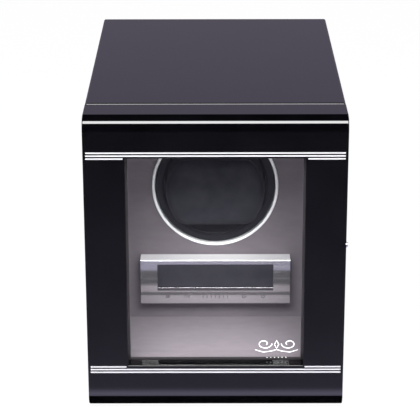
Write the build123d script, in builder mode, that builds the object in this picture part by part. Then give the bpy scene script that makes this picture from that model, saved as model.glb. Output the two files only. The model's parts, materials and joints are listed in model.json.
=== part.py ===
"""A single watch winder box: a lacquered case with a glazed front door, a turning cup that holds a
watch pillow, a belt drive behind the fascia, and a small control panel with a display and five keys.

Units are millimetres. X runs to the right, Y to the rear and Z up. The origin is on the table under
the middle of the box, and the door is shut.
"""

from build123d import *
import math
import os

# ---------------------------------------------------------------- driving dimensions
width = 175.0
height = 209.0
depth = 268.0
foot_height = 2.0
wall = 12.0
door_thickness = 33.0
seam = 1.0
case_edge_radius = 1.5
seam_edge_radius = 1.0
case_rim_radius = 1.4

bottom = foot_height
top = bottom + height
middle_height = (bottom + top) / 2
front = -depth / 2
rear = depth / 2
side = width / 2
door_back = front + door_thickness
case_front = door_back + seam
inner_side = side - wall
base_top = bottom + wall
ceiling = top - wall

# Door
bullnose_radius = 9.2
door_side_radius = 0.8
slab_thickness = 9.5
window_side = 59.8
window_low = bottom + 32.0
window_high = bottom + 181.3
window_edge_radius = 0.8
pocket_side = 65.2
pocket_low = bottom + 25.8
pocket_high = window_high + 5.5
inlay_pitch = 2.0
inlay_width = 1.0
inlay_groove = 1.0
inlay_proud = 0.12
inlay_end = side - 1.9
short_inlay_start = 61.0
upper_inlay = bottom + 185.2
lower_inlay = bottom + 27.2
glass_thickness = 4.0
glass_gap = 0.2
glass_bevel = 0.6
bead_depth = 3.0
bead_width = 5.3
side_bead_width = 6.5
liner = 1.6
pull_y = front + 28.0
pull_z = bottom + 110.0
pull_proud = 3.0
pull_radius = 2.0
pull_round = 0.8
pull_neck = 1.2
pull_stem_radius = 1.2
pull_stem_length = 8.5

# Interior
fascia_front = front + 100.0
lining = 1.0
fascia_thickness = 5.0
fascia_back = fascia_front + fascia_thickness
lining_board = 2.0
floor_top = bottom + 25.6
floor_board_thickness = 3.0
rear_panel_thickness = 5.0
rebate = 7.0
rear_panel_gap = 0.2
bearer_places = (-64.0, 0.0, 64.0)
bearer_side = 6.0
cable_hole_radius = 3.5
rotor_height = bottom + 127.8

# Rotor
ring_outer = 45.5
ring_inner = 43.4
ring_sleeve = 44.4
ring_proud = 1.6
cup_lip = 42.8
cup_outer = 40.0
cup_bore = 38.0
cup_lining_bore = 36.8
cup_front = fascia_front + 0.5
cup_floor = fascia_front + 26.0
cup_back = cup_floor + 3.0
hub_back = cup_back + 4.0
hub_radius = 9.0
hub_web = 2.0
cup_screw_radius = 1.45
cup_screw_bore = 1.5
cup_screw_head = 3.2
cup_screw_length = 9.5
spindle_tapping = 8.0
clip_radius = 6.4
clip_mouth = 3.6
pillow_radius = 35.6
pillow_rise = 25.0
pillow_front = fascia_front - 22.0
pillow_back = fascia_front + 24.5
cover_thickness = 2.0

# Drive
plate_front = fascia_front + 41.0
plate_thickness = 3.0
plate_back = plate_front + plate_thickness
plate_width = 112.0
plate_height = 102.0
plate_middle = bottom + 127.0
tongue_width = 48.0
tongue_height = 40.0
tongue_middle = bottom + 60.0
plate_corner = 4.0
boss_front = fascia_front + 35.0
boss_back = plate_back + 4.0
boss_radius = 9.0
bush_radius = 6.0
bush_flange_radius = 8.0
bush_flange = 1.0
bush_length = 5.0
spindle_radius = 4.0
motor_drop = 62.0
motor_height = rotor_height - motor_drop
motor_radius = 18.0
motor_length = 28.0
motor_shaft_radius = 2.0
motor_collar_radius = 5.0
belt_radius = 1.25
belt_clearance = 0.1
big_pulley_pitch = 30.0
small_pulley_pitch = 7.5
pulley_rim = 1.2
pulley_width = 6.0
pulley_front = plate_back + 7.0
pulley_middle = pulley_front + pulley_width / 2
pulley_hole_circle = 17.5
pulley_hole_radius = 6.0
pulley_holes = 6
standoff_radius = 4.0
spigot_radius = 1.5
spigot_length = 3.0
standoff_points = [(x, bottom + z) for x in (-48.0, 48.0) for z in (84.0, 170.0)]

# Control panel
panel_side = 54.2
panel_low = bottom + 40.9
panel_high = bottom + 74.9
panel_front = fascia_front - 12.0
panel_face = 3.0
panel_shell = 2.0
panel_top_radius = 0.8
panel_edge_radius = 0.6
display_side = 42.0
display_low = bottom + 51.1
display_high = bottom + 71.6
display_recess = 1.2
key_low = display_low + 0.8
key_height = 1.6
key_recess = 0.4
key_lip = 1.8
key_edges = (-42.0, -27.2, -14.4, 14.4, 27.2, 42.0)
key_gap = 0.5
key_travel = 0.5
key_names = ("select_key", "start_key", "mode_key", "direction_key", "power_key")
board_front = panel_front + 7.0
board_thickness = 1.6
board_back = board_front + board_thickness
board_half_width = 44.0
lcd_half_width = 38.0
window_flange_side = 43.8
window_flange = 1.2
panel_boss_radius = 3.0
panel_screw_points = [(x, z) for x in (-47.5, 47.5) for z in (panel_low + 6.0, panel_high - 6.0)]
cable_x = 26.0
cable_z = bottom + 50.0

# Rear and underside
# One size of machine screw holds the chassis, the motor and the control panel
screw_radius = 1.3
screw_head = 2.6
screw_head_height = 1.6
screw_length = 9.0
screw_clearance = 1.6

jack_x = 45.0
jack_z = bottom + 40.0
jack_radius = 4.0
jack_bore = 2.75
jack_flange_radius = 5.6
jack_flange = 1.5
jack_well = 8.0
jack_pin_radius = 1.0
jack_pin_proud = 0.5
jack_nut_radius = 6.0
jack_nut_thickness = 2.5
foot_x = side - 20.0
front_foot_y = case_front + 15.0
rear_foot_y = rear - 18.0
foot_radius = 9.0
foot_sunk = 2.0

running = 0.03
snug = 0.05


# ---------------------------------------------------------------- sketch planes and small helpers
def facing_front(y, x=0.0, z=0.0):
    """A sketch plane at depth y seen from the front: local x is X, local y is Z, normal is -Y."""
    return Plane(origin=(x, y, z), x_dir=(1, 0, 0), z_dir=(0, -1, 0))


def facing_rear(y, x=0.0, z=0.0):
    """A sketch plane at depth y whose normal is +Y: local x is -X, local y is Z."""
    return Plane(origin=(x, y, z), x_dir=(-1, 0, 0), z_dir=(0, 1, 0))


def side_section(x=0.0, z=0.0):
    """A sketch plane seen from the right: local x is Y, local y is Z - z, normal is +X."""
    return Plane(origin=(x, 0, z), x_dir=(0, 1, 0), z_dir=(1, 0, 0))


rotor_section = side_section(z=rotor_height)
motor_section = side_section(z=motor_height)
rotor_axis = Axis((0, 0, rotor_height), (0, 1, 0))
motor_axis = Axis((0, 0, motor_height), (0, 1, 0))


def block(low, high, mode=Mode.ADD):
    """A plain box between two corners, for the part being built."""
    centre = tuple((a + b) / 2 for a, b in zip(low, high))
    size = tuple(b - a for a, b in zip(low, high))
    with Locations(centre):
        Box(*size, mode=mode)


def rod(radius, y_from, y_to, points, mode=Mode.ADD):
    """Round bars along Y, one at each (x, z) point."""
    with BuildSketch(facing_front(y_to)) as profile:
        with Locations(*points):
            Circle(radius)
    extrude(profile.sketch, amount=y_to - y_from, mode=mode)


def countersunk(plane, points, radius, head_radius, length):
    """Countersunk screws with a cross recess: heads flush with the plane, shanks against its normal."""
    head_depth = head_radius - radius
    with BuildSketch(plane) as profile:
        with Locations(*points):
            Circle(head_radius)
    extrude(profile.sketch, amount=-head_depth, taper=45)
    with BuildSketch(plane.offset(-head_depth)) as profile:
        with Locations(*points):
            Circle(radius)
    extrude(profile.sketch, amount=-(length - head_depth))
    with BuildSketch(plane) as profile:
        with Locations(*points):
            Rectangle(head_radius * 1.1, head_radius * 0.24)
            Rectangle(head_radius * 0.24, head_radius * 1.1)
    extrude(profile.sketch, amount=-head_depth * 0.8, mode=Mode.SUBTRACT)


def screw_holes(plane, points, radius, head_radius, length):
    """The matching countersunk holes, a little larger than the screws."""
    head_depth = head_radius - radius
    with BuildSketch(plane) as profile:
        with Locations(*points):
            Circle(head_radius + snug)
    extrude(profile.sketch, amount=-head_depth, taper=45, mode=Mode.SUBTRACT)
    with BuildSketch(plane) as profile:
        with Locations(*points):
            Circle(radius + snug)
    extrude(profile.sketch, amount=-length, mode=Mode.SUBTRACT)


def pan_head(plane, points, radius, head_radius, head_height, length):
    """Pan-head screws: heads stand on the plane and shanks run against its normal."""
    with BuildSketch(plane) as profile:
        with Locations(*points):
            Circle(head_radius)
    extrude(profile.sketch, amount=head_height)
    with BuildSketch(plane) as profile:
        with Locations(*points):
            Circle(radius)
    extrude(profile.sketch, amount=-length)
    with BuildSketch(plane.offset(head_height)) as profile:
        with Locations(*points):
            Rectangle(head_radius * 1.1, head_radius * 0.26)
            Rectangle(head_radius * 0.26, head_radius * 1.1)
    extrude(profile.sketch, amount=-head_height * 0.55, mode=Mode.SUBTRACT)


os.makedirs("parts", exist_ok=True)


def save(piece, name):
    """Labels a finished piece and writes its STEP file."""
    piece.part.label = name
    export_step(piece.part, f"parts/{name}.step")


# ---------------------------------------------------------------- hinges: places and sizes
hinge_heights = (bottom + 44.0, bottom + 165.0)
hinge_length = 30.0
hinge_barrel = 1.75
hinge_pin = 0.8
hinge_relief = 1.95
leaf_thickness = 0.9
leaf_reach = 10.5
hinge_y = door_back + seam / 2
hinge_x = -side
knuckle = hinge_length / 3
knuckle_gap = 0.1
leaf_split = 0.05
leaf_screw_points = [(hinge_x + 6.3, z + dz) for z in hinge_heights for dz in (-9.0, 9.0)]
leaf_screw_radius = 0.9
leaf_screw_head = 1.6
leaf_screw_length = 8.0
case_leaf_y = hinge_y + leaf_split
door_leaf_y = hinge_y - leaf_split


def hinge_mortise(leaf_y, outward):
    """Cuts the leaf pockets, barrel relief and screw holes; outward is +1 on the case, -1 on the door."""
    leaf_back = leaf_y + outward * leaf_thickness
    for z in hinge_heights:
        low = z - hinge_length / 2 - snug
        high = z + hinge_length / 2 + snug
        y_low, y_high = sorted((hinge_y, leaf_back))
        block((hinge_x - 1, y_low, low), (hinge_x + leaf_reach + snug, y_high, high), Mode.SUBTRACT)
        with BuildSketch(Plane.XY.offset(low)) as profile:
            with Locations((hinge_x, hinge_y)):
                Circle(hinge_relief)
        extrude(profile.sketch, amount=high - low, mode=Mode.SUBTRACT)
    y_low, y_high = sorted((leaf_back, leaf_back + outward * leaf_screw_length))
    rod(leaf_screw_radius + snug, y_low, y_high, leaf_screw_points, Mode.SUBTRACT)


def hinge_leaves(leaf_y, outward, knuckles):
    """Both leaves of one side; knuckles lists which thirds of the length carry this side's barrels."""
    leaf_back = leaf_y + outward * leaf_thickness
    y_low, y_high = sorted((leaf_y, leaf_back))
    for z in hinge_heights:
        low = z - hinge_length / 2
        block((hinge_x + hinge_relief, y_low, low), (hinge_x + leaf_reach, y_high, low + hinge_length))
        for third in knuckles:
            start = low + third * knuckle + knuckle_gap
            end = start + knuckle - 2 * knuckle_gap
            block((hinge_x, y_low, start), (hinge_x + leaf_reach - 1, y_high, end))
            with BuildSketch(Plane.XY.offset(start)) as profile:
                with Locations((hinge_x, hinge_y)):
                    Circle(hinge_barrel)
            extrude(profile.sketch, amount=end - start)
    screw_plane = facing_front(leaf_y) if outward > 0 else facing_rear(leaf_y)
    points = [(outward * x, z) for x, z in leaf_screw_points]
    screw_holes(screw_plane, points, leaf_screw_radius, leaf_screw_head, leaf_thickness)


def hinge_bores(radius):
    """Drills the barrels of both hinges for their pins."""
    for z in hinge_heights:
        with BuildSketch(Plane.XY.offset(z - hinge_length / 2 - 1)) as profile:
            with Locations((hinge_x, hinge_y)):
                Circle(radius)
        extrude(profile.sketch, amount=hinge_length + 2, mode=Mode.SUBTRACT)


# ---------------------------------------------------------------- latch magnets, strikes and bumpers
latch_x = side - wall / 2
latch_points = [(latch_x, z) for z in hinge_heights]
magnet_radius = 3.0
magnet_depth = 3.0
strike_radius = 3.5
strike_depth = 1.0
bumper_points = [(x, z) for x in (-latch_x, latch_x) for z in (bottom + 14.0, top - 14.0)]
bumper_radius = 3.0
bumper_thickness = 0.8

# ---------------------------------------------------------------- case panels
rear_screw_side = inner_side + rebate / 2
rear_screw_high = ceiling + rebate / 2
rear_screw_low = base_top - rebate / 2
rear_screw_rows = (bottom + 40.0, middle_height, top - 40.0)
rear_screw_points = [(x, z) for x in (-rear_screw_side, rear_screw_side) for z in rear_screw_rows]
rear_screw_points += [(x, z) for x in (-40.0, 40.0) for z in (rear_screw_low, rear_screw_high)]
rear_screw_radius = 1.3
rear_screw_head = 2.6
rear_screw_length = 16.0
foot_points = [(x, y) for x in (-foot_x, foot_x) for y in (front_foot_y, rear_foot_y)]
foot_screw_radius = 1.5
foot_screw_head = 3.0


def case_wall(wedge):
    """The lacquered tube of the case cut down to one wall by a wedge that follows its mitres."""
    with BuildSketch(facing_front(rear, z=middle_height)) as profile:
        RectangleRounded(width, height, case_edge_radius)
    extrude(profile.sketch, amount=rear - case_front)
    fillet(edges().filter_by_position(Axis.Y, case_front - 0.01, case_front + 0.01), case_rim_radius)
    fillet(edges().filter_by_position(Axis.Y, rear - 0.01, rear + 0.01), seam_edge_radius)
    with BuildSketch(facing_front(rear + 1, z=middle_height)) as profile:
        Rectangle(width - 2 * wall, height - 2 * wall)
    extrude(profile.sketch, amount=depth, mode=Mode.SUBTRACT)
    with BuildSketch(facing_front(rear + 1, z=middle_height)) as profile:
        Rectangle(width - 2 * wall + 2 * rebate, height - 2 * wall + 2 * rebate)
    extrude(profile.sketch, amount=rear_panel_thickness + 1, mode=Mode.SUBTRACT)
    rod(rear_screw_radius, rear - rear_screw_length, rear, rear_screw_points, Mode.SUBTRACT)
    with BuildSketch(facing_front(rear + 1)) as profile:
        with BuildLine():
            Polyline(*wedge, close=True)
        make_face()
    extrude(profile.sketch, amount=depth, mode=Mode.INTERSECT)


outer_left = (-side - 5, top + 5)
outer_right = (side + 5, top + 5)
lower_left = (-side - 5, bottom - 5)
lower_right = (side + 5, bottom - 5)
mitre = side + 5
upper_centre = (0, top + 5 - mitre)
lower_centre = (0, bottom - 5 + mitre)

with BuildPart() as top_panel:
    case_wall([outer_left, outer_right, upper_centre])
save(top_panel, "top_panel")

with BuildPart() as base_panel:
    case_wall([lower_left, lower_right, lower_centre])
    with BuildSketch(Plane.XY.offset(bottom)):
        with Locations(*foot_points):
            Circle(foot_radius + snug)
    extrude(amount=foot_sunk, mode=Mode.SUBTRACT)
    with BuildSketch(Plane.XY.offset(bottom)):
        with Locations(*foot_points):
            Circle(foot_screw_radius)
    extrude(amount=9.0, mode=Mode.SUBTRACT)
save(base_panel, "base_panel")

with BuildPart() as left_side_panel:
    case_wall([outer_left, upper_centre, lower_centre, lower_left])
    hinge_mortise(case_leaf_y, 1)
save(left_side_panel, "left_side_panel")

with BuildPart() as right_side_panel:
    case_wall([outer_right, upper_centre, lower_centre, lower_right])
    rod(magnet_radius + snug, case_front - 1, case_front + magnet_depth, latch_points, Mode.SUBTRACT)
save(right_side_panel, "right_side_panel")

with BuildPart() as rear_panel:
    with BuildSketch(facing_front(rear, z=middle_height)):
        Rectangle(
            width - 2 * (wall - rebate + rear_panel_gap),
            height - 2 * (wall - rebate + rear_panel_gap),
        )
    extrude(amount=rear_panel_thickness)
    screw_holes(
        facing_rear(rear),
        [(-x, z) for x, z in rear_screw_points],
        rear_screw_radius,
        rear_screw_head,
        rear_panel_thickness,
    )
    rod(jack_radius + snug, rear - rear_panel_thickness, rear, [(jack_x, jack_z)], Mode.SUBTRACT)
save(rear_panel, "rear_panel")

with BuildPart() as rear_panel_screws:
    countersunk(
        facing_rear(rear),
        [(-x, z) for x, z in rear_screw_points],
        rear_screw_radius,
        rear_screw_head,
        rear_screw_length,
    )
save(rear_panel_screws, "rear_panel_screws")

# ---------------------------------------------------------------- feet
with BuildPart() as rubber_feet:
    with BuildSketch(Plane.XY):
        with Locations(*foot_points):
            Circle(foot_radius)
    extrude(amount=foot_height + foot_sunk)
    chamfer(edges().group_by(Axis.Z)[0], 0.5)
    with BuildSketch(Plane.XY):
        with Locations(*foot_points):
            Circle(foot_screw_head + 0.4)
    extrude(amount=foot_height + 0.2, mode=Mode.SUBTRACT)
    with BuildSketch(Plane.XY):
        with Locations(*foot_points):
            Circle(foot_screw_radius + snug)
    extrude(amount=foot_height + foot_sunk, mode=Mode.SUBTRACT)
save(rubber_feet, "rubber_feet")

with BuildPart() as foot_screws:
    under_foot = Plane(origin=(0, 0, foot_height + 0.2), x_dir=(1, 0, 0), z_dir=(0, 0, -1))
    mirrored = [(x, -y) for x, y in foot_points]
    pan_head(under_foot, mirrored, foot_screw_radius, foot_screw_head, 1.6, 8.8)
save(foot_screws, "foot_screws")

# ---------------------------------------------------------------- interior boards and linings
lining_front = case_front + 1.0
floor_board_top = floor_top - lining
floor_board_low = floor_board_top - floor_board_thickness
board_side = inner_side - 0.1
board_edge = lining_front + lining

with BuildPart() as floor_board:
    block((-board_side, board_edge, floor_board_low), (board_side, fascia_front + lining, floor_board_top))
save(floor_board, "floor_board")

with BuildPart() as floor_lining:
    block((-board_side, lining_front, floor_board_top), (board_side, fascia_front, floor_top))
    block((-board_side, lining_front, base_top), (board_side, board_edge, floor_board_top))
save(floor_lining, "floor_lining")

with BuildPart() as floor_bearers:
    for x in bearer_places:
        block((x - bearer_side, board_edge, base_top), (x + bearer_side, fascia_front - 2, floor_board_low))
save(floor_bearers, "floor_bearers")

with BuildPart() as side_linings:
    for hand in (-1, 1):
        x_low, x_high = sorted((hand * (inner_side - lining_board), hand * inner_side))
        block((x_low, lining_front, floor_top), (x_high, fascia_front, ceiling - lining_board))
save(side_linings, "side_linings")

with BuildPart() as ceiling_lining:
    block((-inner_side, lining_front, ceiling - lining_board), (inner_side, fascia_front, ceiling))
save(ceiling_lining, "ceiling_lining")


def fascia_openings():
    """The rotor bore, the panel's screw holes and the two cable holes, through lining and board."""
    rod(ring_sleeve + snug, fascia_front, fascia_back, [(0, rotor_height)], Mode.SUBTRACT)
    rod(screw_clearance, fascia_front, fascia_back, panel_screw_points, Mode.SUBTRACT)
    cable_points = [(-cable_x, cable_z), (cable_x, cable_z)]
    rod(cable_hole_radius, fascia_front, fascia_back, cable_points, Mode.SUBTRACT)


with BuildPart() as fascia_lining:
    block((-inner_side, fascia_front, floor_top), (inner_side, fascia_front + lining, ceiling))
    fascia_openings()
save(fascia_lining, "fascia_lining")

with BuildPart() as fascia_board:
    block((-inner_side, fascia_front + lining, base_top), (inner_side, fascia_back, ceiling))
    fascia_openings()
    rod(spigot_radius, fascia_back - spigot_length, fascia_back, standoff_points, Mode.SUBTRACT)
save(fascia_board, "fascia_board")

# ---------------------------------------------------------------- bezel ring round the rotor opening
with BuildPart() as bezel_ring:
    with BuildSketch(rotor_section):
        with BuildLine():
            Polyline(
                (fascia_front - ring_proud, ring_inner),
                (fascia_front - ring_proud, ring_outer),
                (fascia_front, ring_outer),
                (fascia_front, ring_sleeve),
                (fascia_back, ring_sleeve),
                (fascia_back, ring_inner),
                close=True,
            )
        make_face()
        crown = vertices().sort_by(Axis.X)[0:2]
        fillet(crown, 0.7)
    revolve(axis=rotor_axis)
save(bezel_ring, "bezel_ring")

# ---------------------------------------------------------------- rotor: cup, lining, spindle, pulley
with BuildPart() as rotor_cup:
    with BuildSketch(rotor_section):
        with BuildLine():
            Polyline(
                (cup_front, cup_bore),
                (cup_front, cup_lip),
                (cup_front + 2.0, cup_lip),
                (cup_front + 2.0, cup_outer),
                (cup_back, cup_outer),
                (cup_back, hub_radius),
                (hub_back, hub_radius),
                (hub_back, 0),
                (cup_floor, 0),
                (cup_floor, cup_bore),
                close=True,
            )
        make_face()
    revolve(axis=rotor_axis)
    rod(spindle_radius, cup_floor + hub_web, hub_back, [(0, rotor_height)], Mode.SUBTRACT)
    rod(cup_screw_bore, cup_floor, hub_back, [(0, rotor_height)], Mode.SUBTRACT)
    chamfer(edges().filter_by(GeomType.CIRCLE).sort_by(Axis.Y)[0:2], 0.4)
save(rotor_cup, "rotor_cup")

with BuildPart() as cup_lining:
    with BuildSketch(facing_front(cup_floor, z=rotor_height)):
        Circle(cup_bore)
        Circle(cup_lining_bore, mode=Mode.SUBTRACT)
    extrude(amount=cup_floor - cup_front - 0.6)
save(cup_lining, "cup_lining")

spindle_back = pulley_front + pulley_width + 1.5
clip_front = boss_back + bush_flange + 0.15
clip_thickness = 0.8
groove_radius = 3.2

with BuildPart() as spindle:
    rod(spindle_radius, cup_floor + hub_web, spindle_back, [(0, rotor_height)])
    chamfer(edges().filter_by(GeomType.CIRCLE).sort_by(Axis.Y)[-1], 0.5)
    with BuildSketch(facing_front(clip_front + clip_thickness, z=rotor_height)):
        Circle(spindle_radius + 1)
        Circle(groove_radius, mode=Mode.SUBTRACT)
    extrude(amount=clip_thickness, mode=Mode.SUBTRACT)
    tapped_to = cup_floor + hub_web + spindle_tapping
    rod(cup_screw_bore, cup_floor + hub_web, tapped_to, [(0, rotor_height)], Mode.SUBTRACT)
save(spindle, "spindle")

with BuildPart() as spindle_clip:
    with BuildSketch(facing_front(clip_front + clip_thickness - 0.02, z=rotor_height)):
        Circle(clip_radius)
        Circle(groove_radius + 0.02, mode=Mode.SUBTRACT)
        with Locations((0, -clip_radius)):
            Rectangle(clip_mouth, 2 * clip_radius, mode=Mode.SUBTRACT)
    extrude(amount=clip_thickness - 0.04)
save(spindle_clip, "spindle_clip")

with BuildPart() as cup_screw:
    pan_head(
        facing_front(cup_floor, z=rotor_height),
        [(0, 0)],
        cup_screw_radius,
        cup_screw_head,
        1.2,
        cup_screw_length,
    )
save(cup_screw, "cup_screw")


def grooved_pulley(section, axis, pitch, bore, hub):
    """A round-belt pulley: a U groove at the pitch radius, a hub on its rear face and a shaft bore."""
    rim = pitch + pulley_rim
    groove = belt_radius + belt_clearance
    with BuildSketch(section) as profile:
        with BuildLine():
            Polyline(
                (pulley_front, bore),
                (pulley_front, rim),
                (pulley_front + pulley_width, rim),
                (pulley_front + pulley_width, hub),
                (pulley_front + pulley_width + 1.0, hub),
                (pulley_front + pulley_width + 1.0, bore),
                close=True,
            )
        make_face()
        with Locations((pulley_middle, pitch)):
            Circle(groove, mode=Mode.SUBTRACT)
        with Locations((pulley_middle, pitch + pulley_rim)):
            Rectangle(2 * groove, 2 * pulley_rim, mode=Mode.SUBTRACT)
    revolve(profile.sketch, axis=axis)


with BuildPart() as rotor_pulley:
    grooved_pulley(rotor_section, rotor_axis, big_pulley_pitch, spindle_radius, hub_radius)
    with BuildSketch(facing_front(pulley_front + pulley_width, z=rotor_height)):
        with PolarLocations(pulley_hole_circle, pulley_holes):
            Circle(pulley_hole_radius)
    extrude(amount=pulley_width, mode=Mode.SUBTRACT)
save(rotor_pulley, "rotor_pulley")

# ---------------------------------------------------------------- pillow
def pillow_outline(inset):
    """A disc with flats above and below, where a strap passes."""
    Circle(pillow_radius - inset)
    Rectangle(3 * pillow_radius, 2 * (pillow_rise - inset), mode=Mode.INTERSECT)


with BuildPart() as pillow_core:
    with BuildSketch(facing_front(pillow_back - cover_thickness, z=rotor_height)):
        pillow_outline(cover_thickness)
    extrude(amount=pillow_back - pillow_front - 2 * cover_thickness)
    fillet(edges().group_by(Axis.Y)[0], 6.0)
save(pillow_core, "pillow_core")

with BuildPart() as pillow_cover:
    with BuildSketch(facing_front(pillow_back, z=rotor_height)):
        pillow_outline(0)
    extrude(amount=pillow_back - pillow_front)
    fillet(edges().group_by(Axis.Y)[0], 8.0)
    add(pillow_core.part, mode=Mode.SUBTRACT)
save(pillow_cover, "pillow_cover")

# ---------------------------------------------------------------- drive chassis and motor
motor_screw_points = [(x, motor_height) for x in (-12.0, 12.0)]

with BuildPart() as drive_chassis:
    with BuildSketch(facing_front(plate_back)):
        with Locations((0, plate_middle)):
            Rectangle(plate_width, plate_height)
        with Locations((0, tongue_middle)):
            Rectangle(tongue_width, tongue_height)
        fillet(vertices(), plate_corner)
    extrude(amount=plate_thickness)
    rod(boss_radius, boss_front, boss_back, [(0, rotor_height)])
    rod(bush_radius, boss_front, boss_back, [(0, rotor_height)], Mode.SUBTRACT)
    rod(motor_collar_radius + snug, plate_front, plate_back, [(0, motor_height)], Mode.SUBTRACT)
    rod(screw_clearance, plate_front, plate_back, motor_screw_points + standoff_points, Mode.SUBTRACT)
save(drive_chassis, "drive_chassis")

with BuildPart() as spindle_bushes:
    for flange_back, body_back in (
        (boss_front, boss_front + bush_length),
        (boss_back + bush_flange, boss_back),
    ):
        rod(bush_flange_radius, flange_back - bush_flange, flange_back, [(0, rotor_height)])
        rod(bush_radius, body_back - bush_length, body_back, [(0, rotor_height)])
    rod(spindle_radius + running, boss_front - 2, boss_back + 2, [(0, rotor_height)], Mode.SUBTRACT)
save(spindle_bushes, "spindle_bushes")

with BuildPart() as chassis_standoffs:
    rod(standoff_radius, fascia_back, plate_front, standoff_points)
    rod(spigot_radius, fascia_back - spigot_length, fascia_back, standoff_points)
    rod(screw_radius, plate_front - 9.0, plate_front, standoff_points, Mode.SUBTRACT)
save(chassis_standoffs, "chassis_standoffs")

with BuildPart() as motor_body:
    rod(motor_radius, plate_front - motor_length, plate_front, [(0, motor_height)])
    fillet(edges().filter_by(GeomType.CIRCLE).sort_by(Axis.Y)[0], 2.0)
    rod(motor_collar_radius, plate_front, plate_back, [(0, motor_height)])
    rod(motor_shaft_radius + running, plate_front - 14.0, plate_back, [(0, motor_height)], Mode.SUBTRACT)
    rod(screw_radius, plate_front - 7.0, plate_front, motor_screw_points, Mode.SUBTRACT)
save(motor_body, "motor_body")

with BuildPart() as machine_screws:
    for y, points in (
        (plate_back, standoff_points + motor_screw_points),
        (fascia_back, panel_screw_points),
    ):
        mirrored = [(-x, z) for x, z in points]
        pan_head(facing_rear(y), mirrored, screw_radius, screw_head, screw_head_height, screw_length)
save(machine_screws, "machine_screws")

with BuildPart() as motor_shaft:
    rod(motor_shaft_radius, plate_front - 13.0, pulley_front + pulley_width + 2.0, [(0, motor_height)])
    chamfer(edges().filter_by(GeomType.CIRCLE).sort_by(Axis.Y)[-1], 0.3)
save(motor_shaft, "motor_shaft")

with BuildPart() as motor_pulley:
    grooved_pulley(motor_section, motor_axis, small_pulley_pitch, motor_shaft_radius, 4.5)
save(motor_pulley, "motor_pulley")

# The belt leaves each pulley where the common outer tangent touches it.
lean = math.asin((big_pulley_pitch - small_pulley_pitch) / motor_drop)


def tangent_point(centre, radius, hand):
    """Where the straight run touches a pulley of this pitch radius; hand is +1 right, -1 left."""
    return (hand * radius * math.cos(lean), centre - radius * math.sin(lean))


with BuildPart() as drive_belt:
    with BuildLine(facing_front(pulley_middle)) as belt_loop:
        big_left = tangent_point(rotor_height, big_pulley_pitch, -1)
        big_right = tangent_point(rotor_height, big_pulley_pitch, 1)
        small_right = tangent_point(motor_height, small_pulley_pitch, 1)
        small_left = tangent_point(motor_height, small_pulley_pitch, -1)
        ThreePointArc(big_left, (0, rotor_height + big_pulley_pitch), big_right)
        Line(big_right, small_right)
        ThreePointArc(small_right, (0, motor_height - small_pulley_pitch), small_left)
        Line(small_left, big_left)
    with BuildSketch(Plane(origin=belt_loop.wire() @ 0, z_dir=belt_loop.wire() % 0)):
        Circle(belt_radius)
    sweep(path=belt_loop.wire())
save(drive_belt, "drive_belt")

# ---------------------------------------------------------------- control panel
boss_start = panel_front + panel_face

with BuildPart() as panel_housing:
    block((-panel_side, panel_front, panel_low), (panel_side, fascia_front, panel_high))
    front_edges = edges().filter_by_position(Axis.Y, panel_front - 0.01, panel_front + 0.01)
    fillet(front_edges.sort_by(Axis.Z)[-1], panel_top_radius)
    low_front = edges().filter_by_position(Axis.Y, panel_front - 0.01, panel_front + 0.01)
    fillet(low_front.sort_by(Axis.Z)[0], panel_edge_radius)
    block(
        (-panel_side + panel_shell, boss_start, panel_low + panel_shell),
        (panel_side - panel_shell, fascia_front, panel_high - panel_shell),
        Mode.SUBTRACT,
    )
    block((-display_side, panel_front, display_low), (display_side, boss_start, display_high), Mode.SUBTRACT)
    rod(panel_boss_radius, boss_start, fascia_front, panel_screw_points)
    rod(screw_radius, fascia_front - 5.0, fascia_front, panel_screw_points, Mode.SUBTRACT)
save(panel_housing, "panel_housing")

key_top = key_low + key_height
window_bottom = key_top + 0.3

with BuildPart() as display_window:
    block(
        (-display_side + 0.1, panel_front + display_recess, window_bottom),
        (display_side - 0.1, boss_start, display_high - 0.1),
    )
    block(
        (-window_flange_side, boss_start, window_bottom),
        (window_flange_side, boss_start + window_flange, panel_high - panel_shell - 0.2),
    )
save(display_window, "display_window")

with BuildPart() as lcd_module:
    block(
        (-lcd_half_width, boss_start + window_flange + 0.1, window_bottom + 1.0),
        (lcd_half_width, board_front, display_high - 1.5),
    )
save(lcd_module, "lcd_module")

with BuildPart() as control_board:
    block(
        (-board_half_width, board_front, panel_low + panel_shell + 1.0),
        (board_half_width, board_back, panel_high - panel_shell - 0.5),
    )
save(control_board, "control_board")

key_back = board_front - 2.0
key_spans = list(zip(key_edges[:-1], key_edges[1:]))

for key_name, (left, right) in zip(key_names, key_spans):
    with BuildPart() as key:
        block(
            (left + key_gap / 2, panel_front + key_recess, key_low),
            (right - key_gap / 2, key_back, key_top),
        )
        outer = edges().filter_by_position(Axis.Y, panel_front, panel_front + key_recess + 0.01)
        fillet(outer.filter_by(Axis.X), 0.3)
        block(
            (left + key_gap / 2, boss_start + 0.2, key_low - key_lip),
            (right - key_gap / 2, boss_start + 1.0, key_low),
        )
    save(key, key_name)

with BuildPart() as key_switches:
    for left, right in key_spans:
        middle_x = (left + right) / 2
        block((middle_x - 3, board_front - 0.9, key_low - 1.2), (middle_x + 3, board_front, key_top + 0.2))
        rod(0.8, key_back + key_travel + 0.1, board_front, [(middle_x, key_low + key_height / 2)])
save(key_switches, "key_switches")

# ---------------------------------------------------------------- wiring and power socket
cable_radius = 1.2


def cable(points, start_along, end_along):
    """A round cable on a smooth curve through the points, with its directions at both ends."""
    with BuildLine() as run:
        Spline(*points, tangents=(start_along, end_along))
    with BuildSketch(Plane(origin=run.line @ 0, z_dir=run.line % 0)) as profile:
        Circle(cable_radius)
    sweep(profile.sketch, path=run.line)


jack_inner = rear - rear_panel_thickness - 9.0

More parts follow.
